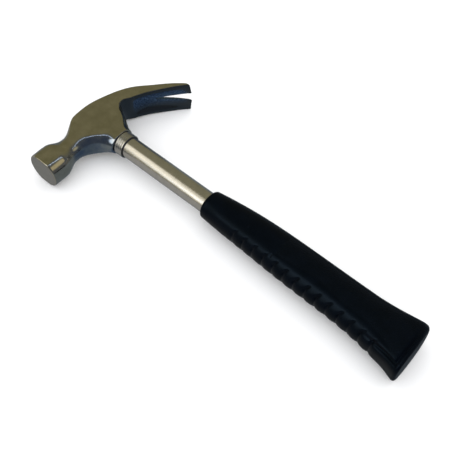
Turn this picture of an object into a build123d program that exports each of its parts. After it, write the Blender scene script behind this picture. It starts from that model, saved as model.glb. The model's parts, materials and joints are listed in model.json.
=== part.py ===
from build123d import *
import os

# A claw hammer with a tubular steel shank, lying on its side as it rests on a bench.
# It is drawn about the point where the poll's axis crosses the shank's axis:
# +X runs down the shank towards the grip, +Y from the striking face towards the claw,
# and +Z out of the upper cheek. place() then moves every piece so that the origin is
# the middle of the hammer's box, on the surface that it rests on. Lengths are in mm.

# Driving dimensions of the head
FACE_REACH = 62.0  # shank axis to striking face
BELL_RADIUS = 14.5
FACE_CHAMFER = 1.0
BELL_BACK = 46.5  # shank axis to the back of the bell
BELL_EDGE_DROP = 0.8
BELL_EDGE_LENGTH = 2.6
NECK_RADIUS = 10.1
NECK_FLARE = 0.4  # growth of the neck where it meets the bell
NECK_FLARE_LENGTH = 3.0
NECK_FRONT = 37.0
NECK_BACK = 30.5
CHEEK_FRONT = 17.5  # shank axis to where the cheeks' flats begin
CROWN_HEIGHT = 15.8  # shank crossing to the top of the head
CROWN_FRONT = 13.6  # the same, where the neck meets the cheeks
CHEEK_HALF = 12.2
CHEEK_BACK = 28.0  # shank axis to where the claw begins to spread
CHIN_DROP = 13.6  # shank crossing to the chin, where the neck meets the cheeks
CHIN_REACH = 16.2  # shank axis to the chin, at the socket's root
THROAT_REACH = 16.4  # shank axis to the throat, at the socket's root
EDGE_ROUND = 5.0  # corners of the neck and the socket where they leave the cheeks
TIP_REACH = 74.2  # shank axis to the claw's tips
TIP_DROP = 34.2  # how far the tips hang towards the grip
TIP_HALF = 14.75
TIP_CORNER_WIDTH = 1.5  # how far the tips' outer corners are drawn in
TIP_CORNER_LENGTH = 3.0
TIP_OVERRUN = 1.0  # the width outline runs on past the tips by this much
SOCKET_RADIUS = 11.0
SOCKET_START = 14.0
SOCKET_END = 25.5
SCOOP_HALF = 9.5  # half width of the hollow in the claw's underside
SCOOP_START = 31.0
SCOOP_OPEN = 10.0  # clear of the underside where the hollow starts
SCOOP_END = TIP_REACH - 1.0
SLOT_START = 52.0
SLOT_ROOT_HALF = 0.8
SLOT_TIP_HALF = 4.4

# Curves of the head in the side view, as (x, y) points
CROWN_CURVE = [
    (-CROWN_FRONT, -CHEEK_FRONT),
    (-CROWN_HEIGHT, -5.0),
    (-12.9, 17.5),
    (-1.0, 42.7),
    (17.7, 61.5),
    (TIP_DROP - 0.8, TIP_REACH - 0.2),
]
UNDERSIDE_CURVE = [
    (TIP_DROP, TIP_REACH - 1.6),
    (21.8, 57.5),
    (10.1, 39.7),
    (4.9, 26.0),
    (6.4, 18.6),
]
SCOOP_CURVE = [
    (4.0, SCOOP_START),
    (8.2, 41.0),
    (19.6, 58.3),
    (TIP_DROP - 1.6, SCOOP_END),
]

# Shank, collar and the pieces inside them
TUBE_RADIUS = 8.75
TUBE_WALL = 1.3
TUBE_TOP = -14.4
FLARE_START = -7.0
FLARE_GROWTH = 0.7
TUBE_BOTTOM = 286.0
COLLAR_START = 26.3
COLLAR_END = 33.4
COLLAR_RADIUS = 10.1
COLLAR_GROOVES = 3
GROOVE_WIDTH = 0.8
GROOVE_DEPTH = 0.3
SEAL_WIDTH = 1.1
SEAL_RADIUS = 9.5
CORE_BOTTOM = 40.0
WEDGE_TOP_RADIUS = 4.6
WEDGE_BOTTOM_RADIUS = 3.0
WEDGE_LENGTH = 14.0
PLUG_RIM = 3.0
PLUG_STEM = 14.0
PLUG_WALL = 2.0
PLUG_FIN_CLEARANCE = 0.05

# Grip: each station is (x, reach towards the claw, reach towards the face, half thickness)
GRIP_FRONT = 118.0
GRIP_END = 306.2
GRIP_STATIONS = [
    (GRIP_FRONT, 11.6, 11.3, 10.8),
    (135.0, 14.0, 12.6, 11.7),
    (160.0, 16.4, 14.0, 12.6),
    (205.0, 17.5, 16.4, 13.0),
    (262.0, 17.3, 18.6, 13.2),
    (284.0, 18.0, 21.6, 13.9),
    (GRIP_END, 20.6, 28.0, 14.6),
]
GRIP_FRONT_ROUND = 1.4
GRIP_BUTT_ROUND = 3.2

THROUGH = 60.0  # longer than any cut that it is used for
CLEAR = 4.0  # how far a cutting shape stands out of the piece that it cuts


def round_bar(radius, start, end, end_radius=None):
    """A round bar along X from start to end, tapered when end_radius is given."""
    length = end - start
    tip = radius if end_radius is None else end_radius
    if tip == radius:
        bar = Cylinder(radius, length)
    else:
        bar = Cone(radius, tip, length)
    return Location((start + length / 2, 0, 0)) * (Rotation(0, 90, 0) * bar)


def head_side_outline():
    """Crown, claw and throat as one closed outline in the XY plane, behind the neck."""
    crown = Spline(*CROWN_CURVE)
    underside = Spline(*UNDERSIDE_CURVE)
    tip = Line(crown @ 1, underside @ 0)
    throat = Line(underside @ 1, (SOCKET_START, THROAT_REACH))
    socket_edge = Line(throat @ 1, (SOCKET_START, -CHIN_REACH))
    chin = Line(socket_edge @ 1, (CHIN_DROP, -CHEEK_FRONT))
    neck_edge = Line(chin @ 1, crown @ 0)
    return make_face([crown, tip, underside, throat, socket_edge, chin, neck_edge])


def head_width_outline():
    """Half thickness against Y: flat cheeks, then the claw spreading to its tips."""
    upper = [
        (CHEEK_HALF, -CHEEK_FRONT),
        (CHEEK_HALF, CHEEK_BACK),
        (TIP_HALF, TIP_REACH - TIP_CORNER_LENGTH),
        (TIP_HALF - TIP_CORNER_WIDTH, TIP_REACH + TIP_OVERRUN),
    ]
    lower = [(-half, y) for half, y in reversed(upper)]
    ring = [Vector(0, y, half) for half, y in upper + lower]
    return make_face(Polyline(*ring, close=True))


def head_body():
    """Cheeks and claw: the side outline given the width outline's thickness."""
    side = extrude(head_side_outline(), amount=2 * TIP_HALF, dir=(0, 0, 1))
    side = Location((0, 0, -TIP_HALF)) * side
    width = extrude(head_width_outline(), amount=2 * THROUGH, dir=(1, 0, 0))
    return side & (Location((-THROUGH, 0, 0)) * width)


def claw_scoop():
    """The long hollow forged into the claw's underside, from near the throat to the tips."""
    floor = Spline(*SCOOP_CURVE)
    open_start = (SCOOP_OPEN, SCOOP_START)
    open_end = (TIP_DROP + CLEAR, SCOOP_END)
    back = Polyline(floor @ 1, open_end, open_start, floor @ 0)
    hollow = extrude(make_face([floor, back]), amount=2 * SCOOP_HALF, dir=(0, 0, 1))
    return Location((0, 0, -SCOOP_HALF)) * hollow


def head_poll():
    """Neck and bell turned about the poll's axis, with a rim chamfer at the face."""
    profile = Polyline(
        (0, -FACE_REACH),
        (BELL_RADIUS - FACE_CHAMFER, -FACE_REACH),
        (BELL_RADIUS, -FACE_REACH + FACE_CHAMFER),
        (BELL_RADIUS, -BELL_BACK),
        (BELL_RADIUS - BELL_EDGE_DROP, -BELL_BACK + BELL_EDGE_LENGTH),
        (NECK_RADIUS + NECK_FLARE, -NECK_FRONT),
        (NECK_RADIUS, -NECK_FRONT + NECK_FLARE_LENGTH),
        (NECK_RADIUS, -NECK_BACK),
        (0, -NECK_BACK),
        close=True,
    )
    return revolve(make_face(profile), Axis.Y)


def head_neck():
    """The neck swelling from its round waist to the front of the cheeks."""
    waist = Plane(origin=(0, -NECK_BACK, 0), z_dir=(0, 1, 0), x_dir=(1, 0, 0))
    cheeks = Plane(origin=(0, -CHEEK_FRONT, 0), z_dir=(0, 1, 0), x_dir=(1, 0, 0))
    cheek_face = Location(((CHIN_DROP - CROWN_FRONT) / 2, 0)) * RectangleRounded(
        CHIN_DROP + CROWN_FRONT, 2 * CHEEK_HALF, EDGE_ROUND
    )
    return loft([waist * Circle(NECK_RADIUS), cheeks * cheek_face])


def head_socket():
    """The socket drawn down from the cheeks to a round end about the shank."""
    root = Plane(origin=(SOCKET_START, 0, 0), z_dir=(1, 0, 0), x_dir=(0, 1, 0))
    end = Plane(origin=(SOCKET_END, 0, 0), z_dir=(1, 0, 0), x_dir=(0, 1, 0))
    root_face = Location(((THROAT_REACH - CHIN_REACH) / 2, 0)) * RectangleRounded(
        THROAT_REACH + CHIN_REACH, 2 * CHEEK_HALF, EDGE_ROUND
    )
    return loft([root * root_face, end * Circle(SOCKET_RADIUS)])


def nail_slot():
    """The V between the claw's two tips, cut right through along X."""
    end = TIP_REACH + CLEAR
    ring = [
        Vector(0, SLOT_START, SLOT_ROOT_HALF),
        Vector(0, end, SLOT_TIP_HALF),
        Vector(0, end, -SLOT_TIP_HALF),
        Vector(0, SLOT_START, -SLOT_ROOT_HALF),
    ]
    wedge = extrude(make_face(Polyline(*ring, close=True)), amount=2 * THROUGH, dir=(1, 0, 0))
    return Location((-THROUGH, 0, 0)) * wedge


def head():
    """Forged head: bell, neck, cheeks, claw and socket, bored and flared for the tube."""
    solid = head_body() - claw_scoop() + head_socket() + head_neck() + head_poll()
    bore = round_bar(TUBE_RADIUS, -THROUGH / 2, THROUGH)
    flare_length = FLARE_START - TUBE_TOP
    mouth = -THROUGH / 2
    mouth_growth = FLARE_GROWTH * (FLARE_START - mouth) / flare_length
    flare = round_bar(TUBE_RADIUS + mouth_growth, mouth, FLARE_START, TUBE_RADIUS)
    return solid - bore - flare - nail_slot()


def shank_tube():
    """Steel tube from the crown to the butt, its top end spread into the head's flare."""
    inner = TUBE_RADIUS - TUBE_WALL
    outside = round_bar(TUBE_RADIUS + FLARE_GROWTH, TUBE_TOP, FLARE_START, TUBE_RADIUS)
    inside = round_bar(inner + FLARE_GROWTH, TUBE_TOP, FLARE_START, inner)
    straight = round_bar(TUBE_RADIUS, FLARE_START, TUBE_BOTTOM)
    hollow = round_bar(inner, FLARE_START, TUBE_BOTTOM)
    return (outside + straight) - inside - hollow


def collar():
    """Pressed ferrule on the tube below the socket, with shallow turned grooves."""
    ring = round_bar(COLLAR_RADIUS, COLLAR_START, COLLAR_END)
    ring -= round_bar(TUBE_RADIUS, COLLAR_START, COLLAR_END)
    pitch = (COLLAR_END - COLLAR_START) / (COLLAR_GROOVES + 1)
    for index in range(COLLAR_GROOVES):
        start = COLLAR_START + pitch * (index + 1) - GROOVE_WIDTH / 2
        groove = round_bar(COLLAR_RADIUS + CLEAR, start, start + GROOVE_WIDTH)
        groove -= round_bar(COLLAR_RADIUS - GROOVE_DEPTH, start, start + GROOVE_WIDTH)
        ring -= groove
    return ring


def ring_on_tube(radius, start, end):
    """A plain ring of the given outside radius seated on the tube."""
    return round_bar(radius, start, end) - round_bar(TUBE_RADIUS, start, end)


def socket_washer():
    """Thin black ring that closes the joint between the socket and the collar."""
    return ring_on_tube(SEAL_RADIUS, SOCKET_END, COLLAR_START)


def collar_seal():
    """Black ring in the collar's lower mouth."""
    return ring_on_tube(SEAL_RADIUS, COLLAR_END, COLLAR_END + SEAL_WIDTH)


def wedge_shape():
    """The space that the expander wedge fills in the core plug."""
    end = TUBE_TOP + WEDGE_LENGTH
    return round_bar(WEDGE_TOP_RADIUS, TUBE_TOP, end, WEDGE_BOTTOM_RADIUS)


def core_plug():
    """Hardwood core that backs the tube inside the head and is spread by the wedge."""
    inner = TUBE_RADIUS - TUBE_WALL
    flared = round_bar(inner + FLARE_GROWTH, TUBE_TOP, FLARE_START, inner)
    return flared + round_bar(inner, FLARE_START, CORE_BOTTOM) - wedge_shape()


def expander_wedge():
    """Round steel wedge driven into the core from the crown."""
    return wedge_shape()


def tube_end_plug():
    """Moulded plug that caps the tube's lower end inside the grip."""
    inner = TUBE_RADIUS - TUBE_WALL
    rim = round_bar(TUBE_RADIUS, TUBE_BOTTOM, TUBE_BOTTOM + PLUG_RIM)
    stem = round_bar(inner - PLUG_FIN_CLEARANCE, TUBE_BOTTOM - PLUG_STEM, TUBE_BOTTOM)
    hollow = round_bar(inner - PLUG_WALL, TUBE_BOTTOM - PLUG_STEM, TUBE_BOTTOM - PLUG_WALL)
    return rim + stem - hollow


def grip_section(x, claw_reach, face_reach, half_thickness):
    """One oval cross-section of the grip, square to the shank."""
    plane = Plane(origin=(x, 0, 0), z_dir=(1, 0, 0), x_dir=(0, 1, 0))
    oval = Ellipse((claw_reach + face_reach) / 2, half_thickness)
    return plane * (Location(((claw_reach - face_reach) / 2, 0)) * oval)


def grip():
    """Rubber sleeve with a closed, flared butt, moulded over the tube and its plug."""
    sleeve = loft([grip_section(*station) for station in GRIP_STATIONS])
    ends = sleeve.edges().sort_by(Axis.X)
    sleeve = fillet(ends[-1], GRIP_BUTT_ROUND)
    sleeve = fillet(sleeve.edges().sort_by(Axis.X)[0], GRIP_FRONT_ROUND)
    return sleeve - round_bar(TUBE_RADIUS, GRIP_FRONT - CLEAR, TUBE_BOTTOM + PLUG_RIM)


PIECES = {
    "head": head,
    "shank_tube": shank_tube,
    "collar": collar,
    "socket_washer": socket_washer,
    "collar_seal": collar_seal,
    "core_plug": core_plug,
    "expander_wedge": expander_wedge,
    "tube_end_plug": tube_end_plug,
    "grip": grip,
}


def place(shapes):
    """Move all pieces so that the origin is the middle of their box, at its lowest level."""
    boxes = [shape.bounding_box() for shape in shapes.values()]
    middle_x = (min(box.min.X for box in boxes) + max(box.max.X for box in boxes)) / 2
    middle_y = (min(box.min.Y for box in boxes) + max(box.max.Y for box in boxes)) / 2
    lowest = min(box.min.Z for box in boxes)
    print("shank crossing is at", round(-middle_x, 3), round(-middle_y, 3), round(-lowest, 3))
    shift = Location((-middle_x, -middle_y, -lowest))
    return {name: shift * shape for name, shape in shapes.items()}


def main():
    os.makedirs("parts", exist_ok=True)
    shapes = {name: make() for name, make in PIECES.items()}
    for name, shape in place(shapes).items():
        export_step(shape, f"parts/{name}.step")


main()
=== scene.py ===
"""A claw hammer with a tubular steel shank and a rubber grip, lying on a pale floor.

Shapes are drawn in millimetres about the point where the poll's axis crosses the shank's
axis: +X runs down the shank to the grip, +Y from the striking face to the claw, +Z out of
the upper cheek. finish_piece() moves them into the row frame and into metres.
"""
import json
import math

import bpy
import numpy as np
from mathutils import Matrix, Vector

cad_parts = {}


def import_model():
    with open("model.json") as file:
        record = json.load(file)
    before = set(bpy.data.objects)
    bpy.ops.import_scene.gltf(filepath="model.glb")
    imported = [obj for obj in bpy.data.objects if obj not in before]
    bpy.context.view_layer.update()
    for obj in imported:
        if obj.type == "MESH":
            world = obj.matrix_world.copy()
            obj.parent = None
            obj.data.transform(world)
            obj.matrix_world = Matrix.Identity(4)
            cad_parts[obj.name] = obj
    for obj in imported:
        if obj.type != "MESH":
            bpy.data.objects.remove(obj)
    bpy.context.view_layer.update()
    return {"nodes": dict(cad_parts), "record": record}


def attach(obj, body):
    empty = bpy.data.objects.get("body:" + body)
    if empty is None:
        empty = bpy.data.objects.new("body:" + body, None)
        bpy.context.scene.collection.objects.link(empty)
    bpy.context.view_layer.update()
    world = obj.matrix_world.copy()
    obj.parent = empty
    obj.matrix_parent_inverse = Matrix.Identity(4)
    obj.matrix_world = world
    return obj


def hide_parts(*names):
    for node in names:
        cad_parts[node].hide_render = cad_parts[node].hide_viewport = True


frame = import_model()

MM = 0.001
FACE_REACH = 62.0
CROSSING = np.array(frame["record"]["mounts"][0]["pos_m"]) + (0, FACE_REACH * MM, 0)


# ---------------------------------------------------------------- shape maths


def curve(*points):
    """A smooth function through a few (place, value) points, held level past its ends."""
    place, value = np.array(points, float).T
    gap = np.diff(place)
    slope = np.diff(value) / gap
    count = len(place)
    matrix = np.eye(count)
    right = np.zeros(count)
    for i in range(1, count - 1):
        matrix[i, i - 1:i + 2] = gap[i - 1], 2 * (gap[i - 1] + gap[i]), gap[i]
        right[i] = 6 * (slope[i] - slope[i - 1])
    bend = np.linalg.solve(matrix, right)
    fine = np.linspace(place[0], place[-1], 2001)
    k = np.clip(np.searchsorted(place, fine, "right") - 1, 0, count - 2)
    a = (place[k + 1] - fine) / gap[k]
    b = 1 - a
    table = a * value[k] + b * value[k + 1]
    table += ((a**3 - a) * bend[k] + (b**3 - b) * bend[k + 1]) * gap[k] ** 2 / 6
    return lambda at: np.interp(at, fine, table)


def ramp(low, high, at):
    """0 before low, 1 past high, and an even S between them; low may be the larger."""
    t = np.clip((at - low) / (high - low), 0, 1)
    return t * t * (3 - 2 * t)


def bell_curve(at, width):
    return np.exp(-((at / width) ** 2))


def both(a, b, radius):
    """Inside both solids, with the edge between them rounded to radius."""
    corner = np.hypot(np.maximum(radius + a, 0), np.maximum(radius + b, 0))
    return np.minimum(np.maximum(a, b), -radius) + corner


def slope_of(line, at):
    return (line(at + 0.05) - line(at - 0.05)) / 0.1


def leaning(distance, slope):
    """A distance measured along an axis, made square to a surface that leans by slope."""
    return distance / np.sqrt(1 + slope**2)


PLAN_LOW = np.array([-26.0, -70.0])
PLAN_STEP = 0.25
PLAN_SHAPE = (270, 600)


def wall(*points):
    """Distance to a wall drawn through points in the side view, positive on its left.

    It is worked out once over a fine grid of (x, y), and read between the grid's points."""
    points = np.array(points, float)
    along = np.concatenate([[0], np.cumsum(np.linalg.norm(np.diff(points, axis=0), axis=1))])
    at = np.linspace(0, along[-1], 260)
    path = np.stack([curve(*zip(along, points[:, c]))(at) for c in (0, 1)], 1)
    grid = PLAN_LOW + PLAN_STEP * np.indices(PLAN_SHAPE).reshape(2, -1).T
    best = np.full(len(grid), 1e9)
    for start, end in zip(path[:-1], path[1:]):
        run = end - start
        off = grid - start
        t = np.clip(off @ run / (run @ run), 0, 1)
        gap = off - t[:, None] * run
        length = np.hypot(*gap.T)
        side = np.sign(run[0] * off[:, 1] - run[1] * off[:, 0])
        closer = length < np.abs(best)
        best[closer] = (side * length)[closer]
    table = best.reshape(PLAN_SHAPE)

    def read(x, y):
        u = np.clip((x - PLAN_LOW[0]) / PLAN_STEP, 0, PLAN_SHAPE[0] - 1.001)
        v = np.clip((y - PLAN_LOW[1]) / PLAN_STEP, 0, PLAN_SHAPE[1] - 1.001)
        i, j = u.astype(int), v.astype(int)
        u, v = u - i, v - j
        low = table[i, j] * (1 - v) + table[i, j + 1] * v
        high = table[i + 1, j] * (1 - v) + table[i + 1, j + 1] * v
        return low * (1 - u) + high * u

    return read


# ---------------------------------------------------------------- meshing a solid


def surface_nets(field, low, step):
    """Quads of the zero surface of a sampled field, with one point in each cell it passes."""
    inside = field < 0
    shape = tuple(np.array(field.shape) - 1)
    total = np.zeros(shape + (3,))
    count = np.zeros(shape)
    for corner in np.ndindex(2, 2, 2):
        for axis in range(3):
            if corner[axis]:
                continue
            end = tuple(1 if c == axis else v for c, v in enumerate(corner))
            here = tuple(slice(o, o + n) for o, n in zip(corner, shape))
            there = tuple(slice(o, o + n) for o, n in zip(end, shape))
            cross = inside[here] != inside[there]
            part = field[here] / np.where(cross, field[here] - field[there], 1)
            for c in range(3):
                total[..., c] += np.where(cross, corner[c] + (part if c == axis else 0), 0)
            count += cross
    used = count > 0
    index = np.full(shape, -1)
    index[used] = np.arange(used.sum())
    points = low + (np.argwhere(used) + total[used] / count[used][:, None]) * step
    quads = [quads_across(inside, index, axis) for axis in range(3)]
    return points, np.concatenate(quads)


def quads_across(inside, index, axis):
    """One quad round every grid edge along axis that passes through the surface."""
    near = [slice(1, -1)] * 3
    far = [slice(1, -1)] * 3
    near[axis] = slice(0, -1)
    far[axis] = slice(1, None)
    first = inside[tuple(near)]
    at = np.argwhere(first != inside[tuple(far)])
    outward = first[tuple(at.T)]
    at = at + (np.arange(3) != axis)
    du = np.eye(3, dtype=int)[(axis + 1) % 3]
    dv = np.eye(3, dtype=int)[(axis + 2) % 3]
    corners = [at - du * p - dv * q for p, q in ((1, 1), (0, 1), (0, 0), (1, 0))]
    ring = np.stack([index[tuple(corner.T)] for corner in corners], 1)
    ring[~outward] = ring[~outward][:, ::-1]
    return ring


def gradient(solid, points):
    out = np.empty_like(points)
    for axis in range(3):
        step = 0.02 * np.eye(3)[axis]
        out[:, axis] = (solid(*(points + step).T) - solid(*(points - step).T)) / 0.04
    return out


def settle(points, quads, solid, rounds):
    """Even out the points along the surface, then put them back on it."""
    edges = np.concatenate([quads[:, [i, (i + 1) % 4]] for i in range(4)])
    count = np.bincount(edges.ravel(), minlength=len(points))[:, None]
    for _ in range(rounds):
        total = np.zeros_like(points)
        for a, b in ((0, 1), (1, 0)):
            for c in range(3):
                total[:, c] += np.bincount(edges[:, a], points[edges[:, b], c], len(points))
        slope = gradient(solid, points)
        size = np.maximum((slope**2).sum(1), 0.05)[:, None]
        move = (total / count - points) * 0.5
        points = points + move - slope * (move * slope).sum(1)[:, None] / size
        slope = gradient(solid, points)
        size = np.maximum((slope**2).sum(1), 0.05)[:, None]
        shift = -solid(*points.T)[:, None] * slope / size
        length = np.linalg.norm(shift, axis=1)[:, None]
        points = points + shift * np.minimum(1, 0.3 / np.maximum(length, 1e-9))
    return points


def mesh_of_solid(solid, low, high, step, rounds=3):
    low = np.array(low)
    count = np.ceil((np.array(high) - low) / step).astype(int) + 1
    axes = [low[i] + step * np.arange(count[i]) for i in range(3)]
    field = solid(*np.meshgrid(*axes, indexing="ij", sparse=True))
    points, quads = surface_nets(np.broadcast_to(field, tuple(count)).copy(), low, step)
    return settle(points, quads, solid, rounds), quads


# ---------------------------------------------------------------- head
# A solid here is a function of (x, y, z) that is negative inside the steel. Lines that
# depend on y run along the poll and the claw, and lines that depend on x run down the socket.

NECK_RADIUS = 10.05
NECK_START = -33.0  # where the neck's walls begin, inside the poll
POLL_BACK = 32.0
RIM_CHAMFER = 0.5
SOCKET_END = 25.5
SOCKET_SIDE = 22.0  # nearer the poll than this the forging is cheek or socket, past it claw
HEAD_BORE = 8.78
SLOT_START = 52.6
SLOT_ROOT_HALF = 0.6
SLOT_GROWTH = 3.6
TIP_REACH = 74.2
SCOOP_MARGIN = 3.4  # steel left on each side of the hollow in the claw's underside
TIP_SLANT = 0.13  # how far the tips' ends lean back for each mm out from the middle
TIP_CORNER = 1.8
UNCUT = -99.0  # stands for a cut that is nowhere near

bell_line = curve((-62, 14.5), (-48.5, 14.5), (-47, 14.35), (-45.2, 13.8), (-43, 12.8), (-40, 11.4),
                  (-37.2, 10.45), (-35, 10.15), (-31, NECK_RADIUS), (-26, NECK_RADIUS))
claw_half = curve((18, 12.2), (24, 12.35), (32, 12.8), (45, 13.5), (60, 14.3), (70, 14.7), (76, 14.75))
neck_drop = curve((-33, 2.15), (-30.5, 2.1), (-27, 1.5), (-23, 0.6), (-19, 0.08), (-16, 0.0), (-10, 0.0))
socket_drop = curve((4, 0.0), (9, 0.0), (12, 0.08), (16, 0.35), (20, 0.75), (23, 1.0), (SOCKET_END, 1.1))
crown_round = curve((-31.5, NECK_RADIUS), (-28, 8.8), (-24, 6.0), (-20, 3.0), (-16, 1.2), (-10, 0.8))
chin_round = curve((-31.5, NECK_RADIUS), (-26, 9.8), (-18, 9.4), (-10, 9.2))
socket_round = curve((6, 8.6), (14, 9.0), (20, 10.2), (SOCKET_END, 11.1))
back_round = curve((4, 1.4), (8, 2.4), (12, 4.5), (16, 7.0), (21, 9.8), (SOCKET_END, 11.1))
scoop_depth = curve((27, -0.5), (30, 0.2), (34, 1.6), (40, 3.0), (48, 3.6), (56, 3.1), (64, 1.8),
                    (70, 0.9), (TIP_REACH, 0.2))

crown_wall = wall((-NECK_RADIUS, -60), (-NECK_RADIUS, -45), (-NECK_RADIUS, -31.5), (-10.5, -27.0),
                  (-11.5, -23.3), (-13.2, -19.0), (-14.5, -15.8), (-15.3, -11.5), (-15.75, -5),
                  (-15.6, 3), (-14.5, 10.1), (-12.6, 17.5), (-7.5, 30.9), (-0.4, 42.1), (8.6, 51.6),
                  (17.8, 61.3), (25.1, 68.0), (34.5, 75.0), (44, 81))
chin_wall = wall((38, -11.6), (32, -11.6), (25.5, -12.1), (21.2, -14.0), (16.1, -17.8), (12.5, -23.0),
                 (10.7, -27.2), (NECK_RADIUS, -31.5), (NECK_RADIUS, -45), (NECK_RADIUS, -60))
back_wall = wall((44, 83.5), (36, 74.2), (31.2, 69.2), (26.4, 63.4), (22.0, 57.5), (17.8, 51.6),
                 (13.7, 45.7), (10.2, 39.7), (6.8, 32.7), (4.9, 27.0), (4.7, 23.0), (6.2, 19.8),
                 (9.0, 18.4), (13.2, 16.8), (17.6, 14.2), (21.5, 12.1), (25.5, 11.1), (32, 10.9),
                 (38, 10.9))


def poll(x, y, z):
    """Bell and neck turned about the poll's axis, with a chamfered rim at the striking face."""
    radius = bell_line(y)
    side = leaning(np.hypot(x, z) - radius, slope_of(bell_line, y))
    rim = (side - FACE_REACH - y) * math.sqrt(0.5) + RIM_CHAMFER
    return np.maximum(both(both(side, -FACE_REACH - y, 0.3), rim, 0.35), y + POLL_BACK)


def forging(x, y, z):
    """Neck, cheeks, socket and claw: walls square to the side view, rounded into the two flats."""
    crown = crown_wall(x, y)
    chin = chin_wall(x, y)
    drop = np.hypot(neck_drop(y), np.where(y < SOCKET_SIDE, socket_drop(x), 0))
    flat = np.abs(z) - (claw_half(y) - drop)
    thinning = 0.6 + 0.7 * ramp(11, 22, x)
    flat = flat + thinning * ramp(-20, -7, chin) * ramp(-31, -23, y)
    throat_bulge = 2.2 * (z / 12.2) ** 2
    back = back_wall(x, y) + throat_bulge * ramp(32, 24, y) * ramp(SOCKET_END, 18, x)
    solid = both(flat, crown, crown_round(y))
    solid = both(solid, chin, np.maximum(chin_round(y), socket_round(x)))
    solid = both(solid, back, np.where(y < SOCKET_SIDE, np.maximum(back_round(x), 1.0), 0.8))
    socket_end = np.where(y < SOCKET_SIDE, x - SOCKET_END, UNCUT)
    return np.maximum(both(solid, socket_end, 0.6), NECK_START - y)


def scooped(solid, x, y, z):
    """The solid less the long hollow in the claw's underside."""
    half = claw_half(y) - SCOOP_MARGIN
    return both(solid, scoop_depth(y) * (1 - (z / half) ** 4) + back_wall(x, y), 0.6)


def slotted(solid, y, z):
    """The solid less the V-shaped nail slot."""
    half = SLOT_ROOT_HALF + SLOT_GROWTH * (y - SLOT_START) / (TIP_REACH - SLOT_START)
    return both(solid, np.minimum(half - np.abs(z), y - SLOT_START + SLOT_ROOT_HALF), 0.45)


def head_solid(x, y, z):
    body = slotted(scooped(forging(x, y, z), x, y, z), y, z)
    body = np.minimum(body, poll(x, y, z))
    tip_end = y - (TIP_REACH - 0.2) + np.abs(z) * TIP_SLANT
    tip = both(np.abs(z) - claw_half(y) - 0.8, tip_end, TIP_CORNER)
    body = both(body, tip, 0.5)
    return both(body, HEAD_BORE - np.hypot(y, z), 0.4)


def head_marks(points):
    """Where each colour lies on the forging, from 0 to 1 at every point.

    painted_shade_and_scale marks the claw's underside and the slot's walls for a painted
    shade, and holds the hollow too; scoop the blue scale in that hollow, chin the grip's
    side from the bell to the socket, for a painted shade and painted blue reflection;
    ground the striking face."""
    slope = gradient(head_solid, points)
    slope /= np.linalg.norm(slope, axis=1)[:, None]
    x, y, z = points.T
    # Painted shade: the claw's underside and the slot's inner walls are marked to be coloured dark grey;
    # only the hollow among them gets the blue scale.
    under = ramp(0.08, 0.4, slope @ (0.72, -0.69, 0)) * ramp(17, 22, y)
    slot_wall = ramp(0.75, 0.9, np.abs(slope[:, 2])) * ramp(5.5, 4.8, np.abs(z)) * ramp(50, 52, y)
    painted_shade_and_scale = np.maximum(under, slot_wall)
    return {
        "painted_shade_and_scale": painted_shade_and_scale,
        "scoop": ramp(-0.5, -1.2, back_wall(x, y)) * painted_shade_and_scale * ramp(-9, 2, z) * ramp(31, 35, y),
        # chin: the grip's side of the neck and cheeks, which gets a painted shade and painted blue
        # reflection
        "chin": ramp(0.3, 0.75, slope @ (0.75, -0.66, 0)) * ramp(-46, -38, y) * ramp(2, -6, y),
        "ground": ramp(-0.9, -0.98, slope[:, 1]) * ramp(-60, -61, y),
    }


# ---------------------------------------------------------------- tube and rings

TUBE_TOP = -14.4
FLARE_START = -7.0
TUBE_END = 286.0
TUBE_RADIUS = 8.75
TUBE_BORE = 7.45
RING_BORE = 8.76
COLLAR_START = 26.3
COLLAR_END = 33.7
COLLAR_RADIUS = 10.1
GROOVE_RADIUS = 9.8
GROOVE_FIRST = 27.9
GROOVE_PITCH = 1.95
SEAL_RADIUS = 9.5
SEAL_END = 34.4


def lathe(profile, steps=160):
    """Rings about the shank's axis from (x, radius) pairs; the profile is a closed loop."""
    profile = np.array(profile, float)
    turn = np.linspace(0, 2 * math.pi, steps, endpoint=False)
    points = np.stack([
        np.repeat(profile[:, :1], steps, 1),
        profile[:, 1:] * np.cos(turn),
        profile[:, 1:] * np.sin(turn),
    ], -1).reshape(-1, 3)
    count = len(profile)
    faces = []
    for i in range(count):
        j = (i + 1) % count
        for k in range(steps):
            m = (k + 1) % steps
            faces.append((i * steps + k, i * steps + m, j * steps + m, j * steps + k))
    return points, faces


def rounded(corners, radius, steps=5):
    """A closed loop of corners with each corner turned into a short arc."""
    corners = np.array(corners, float)
    out = []
    for i, here in enumerate(corners):
        before = corners[i - 1] - here
        after = corners[(i + 1) % len(corners)] - here
        reach = min(radius, np.linalg.norm(before) * 0.45, np.linalg.norm(after) * 0.45)
        start = here + before / np.linalg.norm(before) * reach
        end = here + after / np.linalg.norm(after) * reach
        for t in np.linspace(0, 1, steps):
            out.append((1 - t) ** 2 * start + 2 * t * (1 - t) * here + t**2 * end)
    return out


def tube_profile():
    """The tube's wall, spread at its top into the head's flare and eased at both ends."""
    flare = [(TUBE_TOP, 9.45), (-13.6, 9.4), (-12, 9.3), (FLARE_START, 8.8)]
    outside = [(x, TUBE_RADIUS) for x in (-5, 20, 60, 118, TUBE_END - 0.4)]
    end = [(TUBE_END, 8.5), (TUBE_END, 7.6)]
    inside = [(x, TUBE_BORE) for x in (TUBE_END - 0.4, 60, -5)]
    mouth = [(-12, 7.9), (-14.2, 8.2), (TUBE_TOP - 0.1, 8.8)]
    return flare + outside + end + inside + mouth


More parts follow.
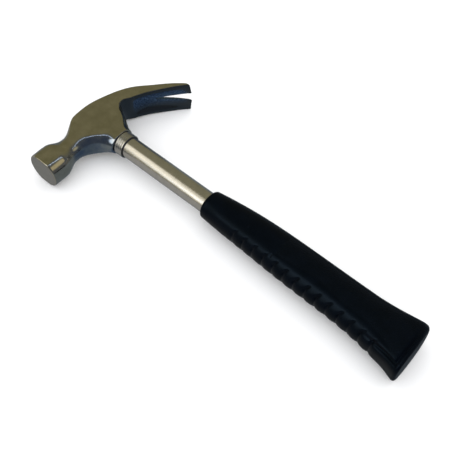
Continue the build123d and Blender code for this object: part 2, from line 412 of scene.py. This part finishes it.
def collar_profile():
    """A pressed band with three shallow turned grooves."""
    corners = [(COLLAR_START, RING_BORE), (COLLAR_START, COLLAR_RADIUS)]
    for index in range(3):
        middle = GROOVE_FIRST + GROOVE_PITCH * index
        corners += [
            (middle - 0.5, COLLAR_RADIUS),
            (middle - 0.3, GROOVE_RADIUS),
            (middle + 0.3, GROOVE_RADIUS),
            (middle + 0.5, COLLAR_RADIUS),
        ]
    corners += [(COLLAR_END, COLLAR_RADIUS), (COLLAR_END, RING_BORE)]
    return rounded(corners, 0.25)


def ring_profile(start, end):
    corners = [(start, RING_BORE), (start, SEAL_RADIUS), (end, SEAL_RADIUS), (end, RING_BORE)]
    return rounded(corners, 0.3)


# ---------------------------------------------------------------- grip

GRIP_FRONT = 118.0
GRIP_END = 306.2
GRIP_BORE_END = 289.0
BUTT_RIM = GRIP_END - 0.6  # where the butt's rounding ends and its slight dome begins
BUTT_TOP = GRIP_END - 0.1
RIB_START = 151.9
RIB_PITCH = 9.83
RIB_COUNT = 13
RIB_SLANT = 2.6
PANEL_START = 186.6
RIM_PLACE = 301.8  # the groove round the butt
RAISED_DOTS = ((159.7, 78), (248.0, 96), (268.6, 92), (279.7, 92))  # (x, angle)

claw_reach = curve((GRIP_FRONT, 11.6), (135, 14.0), (160, 16.4), (205, 17.5), (262, 17.3),
                   (284, 18.0), (GRIP_END, 20.6))
face_reach = curve((GRIP_FRONT, 11.3), (135, 12.6), (160, 14.0), (205, 16.4), (262, 18.6),
                   (284, 21.0), (295, 22.8), (302, 25.2), (GRIP_END, 26.4))
half_thick = curve((GRIP_FRONT, 10.8), (135, 11.7), (160, 12.6), (205, 13.0), (262, 13.2),
                   (284, 13.9), (GRIP_END, 14.6))
panel_edge = curve((187, 56), (201.6, 62), (209.5, 67), (217, 71), (224, 71), (230, 68), (238, 65),
                   (246, 62), (263, 62), (277, 60), (285, 58), (291, 54), (298, 46), (304, 40))
groove_line = curve((255, 40), (270, 37), (285, 34), (293, 33), (303, 37))
ridge_line = curve((GRIP_FRONT, 50), (201, 53), (230, 58), (262, 51), (284, 48), (300, 46))

# Every function of (x, side) below takes the angle side in degrees round from the face
# side (0) over either cheek (90) to the claw side (180).


def rib_relief(x, side):
    """Finger ribs across the face side, and the narrow slits that run from between them."""
    slant = RIB_SLANT * ramp(0, 1, (side - 25) / 30)
    turn = (x - RIB_START - slant) / RIB_PITCH
    ribbed = ramp(-0.6, -0.1, turn) * ramp(RIB_COUNT + 0.6, RIB_COUNT + 0.1, turn)
    ribbed = ribbed * (0.6 + 0.4 * ramp(150, 220, x))
    wave = np.abs(np.sin(math.pi * turn))
    dip = 1.25 * (1 - wave**0.6) * ribbed * ramp(48, 16, side)
    slit = 0.8 * bell_curve(wave, 0.28) * ribbed * ramp(14, 26, side) * ramp(54, 40, side)
    return -dip - slit


def side_panel(x, side):
    """1 on the stippled panel on each cheek, 0 off it."""
    return ramp(0, 5, side - panel_edge(x)) * ramp(142, 132, side) * ramp(186, 189, x)


def butt_groove(x, side):
    """The groove round the butt, with a valley that leads into it from the face side."""
    valley = bell_curve(side - groove_line(x), 6.0)
    valley = valley * ramp(264, 298, x) * ramp(303.2, RIM_PLACE, x)
    rim = bell_curve(x - RIM_PLACE, np.where(x < RIM_PLACE, 1.6, 0.8))
    rim = rim * ramp(32, 38, side) * (1 - 0.7 * ramp(60, 130, side)) * ramp(168, 140, side)
    return 2.0 * np.maximum(valley, rim)


def grip_relief(x, side):
    """How far the grip's skin stands out of its plain oval, in mm."""
    relief = rib_relief(x, side)
    relief -= 0.45 * side_panel(x, side) * ramp(298, 280, x)
    ridge = bell_curve(side - ridge_line(x), 15 - 6 * ramp(262, 290, x))
    relief += 0.5 * ridge * ramp(120, 135, x) * ramp(303, 296, x)
    relief -= butt_groove(x, side)
    relief -= 0.4 * bell_curve(x - PANEL_START, 0.5) * ramp(42, 46, side) * ramp(56, 52, side)
    for dot_x, dot_side in RAISED_DOTS:
        relief += 0.45 * bell_curve(np.hypot(x - dot_x, (side - dot_side) * 0.25), 0.8)
    return relief


def grip_surface(x, turn, inset):
    """Points round the grip at x, drawn in from its outline by inset, and their panel mark."""
    claw, face, thick = claw_reach(x), face_reach(x), half_thick(x)
    side = 180 - np.degrees(np.abs((turn + math.pi) % (2 * math.pi) - math.pi))
    power = 2 / (2.15 + 0.9 * ramp(262, 300, x))
    cosine, sine = np.cos(turn), np.sin(turn)
    y = (claw + face) / 2 * np.sign(cosine) * np.abs(cosine) ** power
    z = thick * np.sign(sine) * np.abs(sine) ** power
    keep = 1 + (grip_relief(x, side) - inset) / np.hypot(y, z)
    y = (claw - face) / 2 + y * keep
    tilt = 1.0 * ramp(-8, 21, y) * ramp(284, 304, x)
    return np.stack([x - tilt, y, z * keep], -1), side_panel(x, side)


def butt_cap(last, steps=(0.92, 0.8, 0.65, 0.5, 0.35, 0.2, 0.08)):
    """Shrinking rings that close the butt with a slight dome, and the dome's middle point."""
    middle = last.mean(0)
    top = middle + (BUTT_TOP - middle[0], 0, 0)
    rings = []
    for keep in steps:
        ring = middle + (last - middle) * keep
        ring[:, 0] = top[0] + (last[:, 0] - top[0]) * keep**2
        rings.append(ring)
    return rings, top


def grip_mesh(rings=380, steps=200):
    """The sleeve as one closed skin: bore, rounded front, outside, rounded butt and cap."""
    turn = np.linspace(0, 2 * math.pi, steps, endpoint=False)
    front = 2.4
    butt = 3.0 + 2.2 * ramp(-0.2, 0.9, np.cos(turn))
    butt_start = BUTT_RIM - butt
    rows = []
    for x in (GRIP_BORE_END, 200.0, GRIP_FRONT + 1.2, GRIP_FRONT + 0.4):
        row = np.stack([np.full(steps, x), RING_BORE * np.cos(turn), RING_BORE * np.sin(turn)], -1)
        rows.append((row, np.zeros(steps)))
    for t in np.linspace(math.pi / 2, 0, 9)[:-1]:
        rows.append(grip_surface(GRIP_FRONT + front * (1 - math.sin(t)), turn, front * (1 - math.cos(t))))
    for x in np.linspace(GRIP_FRONT + front, butt_start, rings):
        rows.append(grip_surface(x, turn, 0))
    for t in np.linspace(0, math.pi / 2, 10)[1:]:
        rows.append(grip_surface(butt_start + butt * math.sin(t), turn, butt * (1 - math.cos(t))))
    cap, top = butt_cap(rows[-1][0])
    rows += [(ring, np.zeros(steps)) for ring in cap]
    bottom = np.array([GRIP_BORE_END, 0, 0])
    points = np.concatenate([row for row, _ in rows] + [top[None], bottom[None]])
    panel = np.concatenate([mark for _, mark in rows] + [np.zeros(2)])
    faces = []
    for i in range(len(rows) - 1):
        for k in range(steps):
            m = (k + 1) % steps
            faces.append((i * steps + k, i * steps + m, (i + 1) * steps + m, (i + 1) * steps + k))
    end = (len(rows) - 1) * steps
    for k in range(steps):
        m = (k + 1) % steps
        faces.append((end + k, end + m, len(points) - 2))
        faces.append((m, k, len(points) - 1))
    return points, faces, panel


# ---------------------------------------------------------------- materials


class Paint:
    """A new material with a few calls that keep its node list short."""

    def __init__(self, name):
        self.material = bpy.data.materials.new(name)
        self.material.use_nodes = True
        self.tree = self.material.node_tree
        self.shader = self.tree.nodes["Principled BSDF"]
        coords = self.add("TexCoord").outputs["Object"]
        to_mm = (1 / MM, 1 / MM, 1 / MM)
        back_to_crossing = tuple(-CROSSING / MM)
        self.place = self.add("Mapping", Vector=coords, Scale=to_mm, Location=back_to_crossing).outputs[0]

    def add(self, kind, _set=None, **inputs):
        node = self.tree.nodes.new("ShaderNode" + kind)
        for key, value in (_set or {}).items():
            setattr(node, key, value)
        for key, value in inputs.items():
            self.feed(node.inputs[key.replace("_", " ")], value)
        return node

    def feed(self, socket, value):
        if isinstance(value, bpy.types.NodeSocket):
            self.tree.links.new(value, socket)
        else:
            socket.default_value = value

    def noise(self, scale, detail=3.0, rough=0.5, stretch=None):
        place = self.place
        if stretch:
            place = self.add("Mapping", Vector=place, Scale=stretch).outputs[0]
        return self.add("TexNoise", Vector=place, Scale=scale, Detail=detail, Roughness=rough).outputs["Fac"]

    def math(self, operation, a, b):
        node = self.tree.nodes.new("ShaderNodeMath")
        node.operation = operation
        self.feed(node.inputs[0], a)
        self.feed(node.inputs[1], b)
        return node.outputs[0]

    def span(self, value, low, high, to_low=0.0, to_high=1.0):
        node = self.tree.nodes.new("ShaderNodeMapRange")
        for socket, v in zip(node.inputs[:5], (value, low, high, to_low, to_high)):
            self.feed(socket, v)
        return node.outputs[0]

    def mix(self, factor, a, b):
        node = self.tree.nodes.new("ShaderNodeMix")
        node.data_type = "RGBA"
        self.feed(node.inputs[0], factor)
        for socket, v in ((node.inputs[6], a), (node.inputs[7], b)):
            if not isinstance(v, bpy.types.NodeSocket):
                v = (*v, 1.0)
            self.feed(socket, v)
        return node.outputs[2]

    def bump(self, height, distance, strength, under=None):
        node = self.add("Bump", Height=height, Distance=distance, Strength=strength)
        if under is not None:
            self.feed(node.inputs["Normal"], under)
        return node.outputs[0]

    def mark(self, name):
        return self.add("Attribute", {"attribute_name": name}).outputs["Fac"]

    def surface(self, **inputs):
        for key, value in inputs.items():
            self.feed(self.shader.inputs[key.replace("_", " ")], value)
        return self.material


def forged_steel():
    """Polished olive-brown steel, ground face, dark blue scale in the claw's hollow; painted shade on the
    claw's underside and slot, painted shade and blue reflection on the chin.
    """
    p = Paint("forged_steel")
    cloud = p.noise(0.12, 4)
    fine = p.noise(1.3, 5, 0.6)
    grain = p.noise(2.0, 3, 0.6, stretch=(6.0, 0.35, 6.0))
    scoop = p.mark("scoop")
    colour = p.mix(p.span(cloud, 0.3, 0.7), (0.47, 0.455, 0.37), (0.59, 0.57, 0.49))
    # Painted shade and painted blue reflection: the chin side is coloured darker and bluer than the rest of
    # the steel.
    chin = p.mix(p.span(cloud, 0.4, 0.6), (0.17, 0.23, 0.33), (0.28, 0.33, 0.37))
    colour = p.mix(p.mark("chin"), colour, chin)
    ground = p.mix(p.span(fine, 0.4, 0.6), (0.34, 0.35, 0.34), (0.40, 0.40, 0.38))
    colour = p.mix(p.mark("ground"), colour, ground)
    blue_scale = p.mix(p.span(fine, 0.42, 0.66), (0.02, 0.05, 0.12), (0.26, 0.42, 0.68))
    # Painted shade: dark grey where the claw faces down and on the slot's walls; the blue scale in the
    # hollow is the steel's own.
    colour = p.mix(p.mark("painted_shade_and_scale"), colour, p.mix(scoop, (0.085, 0.10, 0.115), blue_scale))
    scratch = p.span(p.noise(1.0, 2, 0.5, stretch=(0.25, 7.0, 1.0)), 0.62, 0.72)
    colour = p.mix(p.math("MULTIPLY", scratch, 0.35), colour, (0.30, 0.28, 0.22))
    rough = p.span(grain, 0.3, 0.7, 0.10, 0.17)
    rough = p.math("ADD", rough, p.math("MULTIPLY", scratch, 0.10))
    rough = p.math("ADD", rough, p.math("MULTIPLY", scoop, 0.25))
    skin = p.bump(grain, 0.00002, 0.3)
    skin = p.bump(p.math("MULTIPLY", fine, scoop), 0.0006, 0.9, skin)
    return p.surface(Base_Color=colour, Metallic=1.0, Roughness=rough, Normal=skin)


def plated_steel(name, light, dark, low, high):
    """Bright plating with a faint grain along the shank; low and high are its roughness."""
    p = Paint(name)
    cloud = p.noise(0.2, 3)
    grain = p.noise(1.2, 3, 0.6, stretch=(0.15, 5.0, 5.0))
    colour = p.mix(p.span(cloud, 0.3, 0.7), dark, light)
    rough = p.span(grain, 0.3, 0.7, low, high)
    skin = p.bump(grain, 0.00002, 0.12)
    return p.surface(Base_Color=colour, Metallic=1.0, Roughness=rough, Normal=skin)


def grip_rubber():
    """Blue-black moulded rubber, stippled on the side panels."""
    p = Paint("grip_rubber")
    cloud = p.noise(0.09, 4)
    fine = p.noise(2.6, 3, 0.6)
    panel = p.mark("panel")
    colour = p.mix(p.span(cloud, 0.3, 0.7), (0.0002, 0.0006, 0.0018), (0.0006, 0.0013, 0.0034))
    rough = p.span(fine, 0.3, 0.7, 0.27, 0.36)
    rough = p.math("ADD", rough, p.math("MULTIPLY", panel, 0.12))
    skin = p.bump(fine, 0.00008, 0.4)
    stipple = p.add("TexVoronoi", Vector=p.place, Scale=1.1).outputs["Distance"]
    skin = p.bump(p.math("MULTIPLY", stipple, panel), 0.00035, 0.8, skin)
    tint = (0.5, 0.75, 1.0, 1.0)
    return p.surface(
        Base_Color=colour, Roughness=rough, Normal=skin, Specular_IOR_Level=0.13, Specular_Tint=tint
    )


def dull(name, light, dark, rough):
    """A plain matt stuff with a mottled colour and a fine tooth."""
    p = Paint(name)
    colour = p.mix(p.span(p.noise(0.6, 4), 0.3, 0.7), dark, light)
    skin = p.bump(p.noise(3.0, 3), 0.00005, 0.4)
    return p.surface(Base_Color=colour, Roughness=rough, Normal=skin)


# ---------------------------------------------------------------- pieces


def finish_piece(name, node, slot, points, faces, material, **marks):
    """A smooth mesh from points in mm, placed in the row frame, that stands in for a node."""
    mesh = bpy.data.meshes.new(name)
    mesh.from_pydata((points * MM + CROSSING).tolist(), [], [list(map(int, f)) for f in faces])
    mesh.polygons.foreach_set("use_smooth", [True] * len(mesh.polygons))
    for mark, values in marks.items():
        layer = mesh.attributes.new(mark, "FLOAT", "POINT")
        layer.data.foreach_set("value", values.astype(np.float32))
    mesh.update()
    piece = bpy.data.objects.new(name, mesh)
    bpy.context.scene.collection.objects.link(piece)
    piece.data.materials.append(material)
    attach(piece, "root")
    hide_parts(node)


def make_head():
    step = 0.5
    points, faces = mesh_of_solid(head_solid, (-17.0, -63.2, -15.8), (36.5, 75.6, 15.8), step)
    finish_piece("head_forging", "head", "forged_steel", points, faces, forged_steel(), **head_marks(points))


def make_shank_tube():
    steel = plated_steel("plated_tube", (0.67, 0.655, 0.62), (0.60, 0.595, 0.57), 0.18, 0.26)
    finish_piece("shank_tube_skin", "shank_tube", "plated_tube", *lathe(tube_profile()), steel)


def make_collar():
    steel = plated_steel("plated_collar", (0.62, 0.61, 0.58), (0.52, 0.53, 0.52), 0.16, 0.24)
    finish_piece("collar_band", "collar", "plated_collar", *lathe(collar_profile()), steel)


def make_black_rings():
    rubber = dull("seal_rubber", (0.02, 0.02, 0.022), (0.008, 0.008, 0.01), 0.5)
    for node, start, end in (
        ("socket_washer", SOCKET_END, COLLAR_START),
        ("collar_seal", COLLAR_END, SEAL_END),
    ):
        points, faces = lathe(ring_profile(start, end))
        finish_piece(node + "_ring", node, "seal_rubber", points, faces, rubber)


def make_grip():
    points, faces, panel = grip_mesh()
    finish_piece("grip_sleeve", "grip", "grip_rubber", points, faces, grip_rubber(), panel=panel)


def finish_inner_pieces():
    """New materials for the pieces inside, which keep the shapes that the frame gives them."""
    for node, material in (
        ("core_plug", dull("core_wood", (0.42, 0.26, 0.12), (0.28, 0.16, 0.07), 0.6)),
        ("expander_wedge", plated_steel("wedge_steel", (0.5, 0.48, 0.44), (0.3, 0.28, 0.26), 0.3, 0.5)),
        ("tube_end_plug", dull("plug_plastic", (0.05, 0.05, 0.05), (0.03, 0.03, 0.03), 0.5)),
    ):
        data = frame["nodes"][node].data
        data.materials.clear()
        data.materials.append(material)


# ---------------------------------------------------------------- floor, light and camera


def floor():
    mesh = bpy.data.meshes.new("floor")
    half = 3.0
    corners = [(-half, -half, 0), (half, -half, 0), (half, half, 0), (-half, half, 0)]
    mesh.from_pydata(corners, [], [(0, 1, 2, 3)])
    obj = bpy.data.objects.new("floor", mesh)
    bpy.context.scene.collection.objects.link(obj)
    material = bpy.data.materials.new("floor")
    material.use_nodes = True
    shader = material.node_tree.nodes["Principled BSDF"]
    shader.inputs["Base Color"].default_value = (0.93, 0.93, 0.93, 1)
    shader.inputs["Roughness"].default_value = 0.9
    shader.inputs["Specular IOR Level"].default_value = 0.0
    obj.data.materials.append(material)
    obj.visible_glossy = False


class Sky:
    """The world's node tree, with calls for colours that depend on a ray's direction."""

    def __init__(self):
        world = bpy.data.worlds.new("studio")
        world.use_nodes = True
        bpy.context.scene.world = world
        self.tree = world.node_tree
        self.tree.nodes.clear()
        self.way = self.add("TexCoord").outputs["Generated"]

    def add(self, kind, **settings):
        node = self.tree.nodes.new("ShaderNode" + kind)
        for key, value in settings.items():
            setattr(node, key, value)
        return node

    def link(self, output, socket):
        self.tree.links.new(output, socket)

    def facing(self, way, low, high):
        """1 where a ray goes towards way, 0 where it goes elsewhere, with a smooth step."""
        dot = self.add("VectorMath", operation="DOT_PRODUCT")
        self.link(self.way, dot.inputs[0])
        dot.inputs[1].default_value = Vector(way).normalized()
        step = self.add("MapRange", interpolation_type="SMOOTHSTEP")
        self.link(dot.outputs["Value"], step.inputs[0])
        step.inputs[1].default_value = low
        step.inputs[2].default_value = high
        return step.outputs[0]

    def times(self, a, b):
        node = self.add("Math", operation="MULTIPLY")
        self.link(a, node.inputs[0])
        self.link(b, node.inputs[1])
        return node.outputs[0]

    def mix(self, factor, a, b):
        node = self.add("Mix", data_type="RGBA")
        self.link(factor, node.inputs[0])
        for socket, value in ((node.inputs[6], a), (node.inputs[7], b)):
            if isinstance(value, tuple):
                socket.default_value = (*value, 1)
            else:
                self.link(value, socket)
        return node.outputs[2]


def reflected_room(sky):
    """A dim room: a grey ground, a sky that browns to one side, a pale band and two patches."""
    ground = sky.mix(sky.facing((-0.5, -0.85, 0), -0.2, 0.8), (0.15, 0.175, 0.20), (0.36, 0.35, 0.33))
    above = sky.mix(sky.facing((-0.9, 0.3, 0.2), -0.2, 0.3), (0.10, 0.105, 0.12), (0.20, 0.182, 0.102))
    across = Vector((0.862, -0.171, 0.477))
    band = sky.times(sky.facing(across, -0.17, -0.02), sky.facing(-across, -0.17, -0.02))
    band = sky.times(band, sky.facing((-0.451, -0.664, 0.596), 0.8, 0.93))
    above = sky.mix(band, above, (1.75, 1.63, 1.36))
    above = sky.mix(sky.facing((-0.05, -0.78, 0.62), 0.91, 0.98), above, (2.3, 2.25, 2.2))
    above = sky.mix(sky.facing((0.80, 0.34, 0.50), 0.962, 0.993), above, (0.60, 0.52, 0.34))
    return sky.mix(sky.facing((0, 0, 1), -0.12, 0.12), ground, above)


def world():
    """Even white light, with a dim room in its place for reflections."""
    sky = Sky()
    white = sky.add("Background")
    white.inputs[0].default_value = (1, 1, 1, 1)
    white.inputs[1].default_value = 1.35
    room = sky.add("Background")
    sky.link(reflected_room(sky), room.inputs[0])
    choose = sky.add("MixShader")
    sky.link(sky.add("LightPath").outputs["Is Glossy Ray"], choose.inputs[0])
    sky.link(white.outputs[0], choose.inputs[1])
    sky.link(room.outputs[0], choose.inputs[2])
    sky.link(choose.outputs[0], sky.add("OutputWorld").inputs[0])


def tube_light(start, end, width, power, colour):
    """A long lamp from start to end, turned to face the shank."""
    start, end = Vector(start), Vector(end)
    data = bpy.data.lights.new("strip", "AREA")
    data.shape = "RECTANGLE"
    data.size = (end - start).length
    data.size_y = width
    data.energy = power
    data.color = colour
    obj = bpy.data.objects.new("strip", data)
    bpy.context.scene.collection.objects.link(obj)
    along = (end - start).normalized()
    middle = (start + end) / 2
    shank = Vector((-0.05, 0, 0))
    out = (middle - shank).normalized()
    out = (out - along * out.dot(along)).normalized()
    turn = Matrix((along, out.cross(along), out)).transposed()
    obj.matrix_world = Matrix.Translation(middle) @ turn.to_4x4()


def camera():
    """The camera, turned by its own right and back axes, and placed from the crossing."""
    data = bpy.data.cameras.new("camera")
    data.lens = 64.0
    data.sensor_width = 36.0
    data.sensor_fit = "HORIZONTAL"
    obj = bpy.data.objects.new("camera", data)
    bpy.context.scene.collection.objects.link(obj)
    right = Vector((0.75522, 0.65544, 0.00664))
    back = Vector((0.36363, -0.42737, 0.82772)).normalized()
    up = back.cross(right).normalized()
    right = up.cross(back)
    turn = Matrix((right, up, back)).transposed()
    place = CROSSING + (0.35791, -0.26235, 0.49530)
    obj.matrix_world = Matrix.Translation(place) @ turn.to_4x4()
    bpy.context.scene.camera = obj


# ---------------------------------------------------------------- the scene

make_head()
make_shank_tube()
make_collar()
make_black_rings()
make_grip()
finish_inner_pieces()
floor()
world()
camera()
tube_light((-1.73, -3.02, 1.0), (0.74, 0.72, 1.0), 0.034, 1.4, (0.66, 0.82, 1.15))
bpy.context.scene.view_settings.view_transform = "Standard"
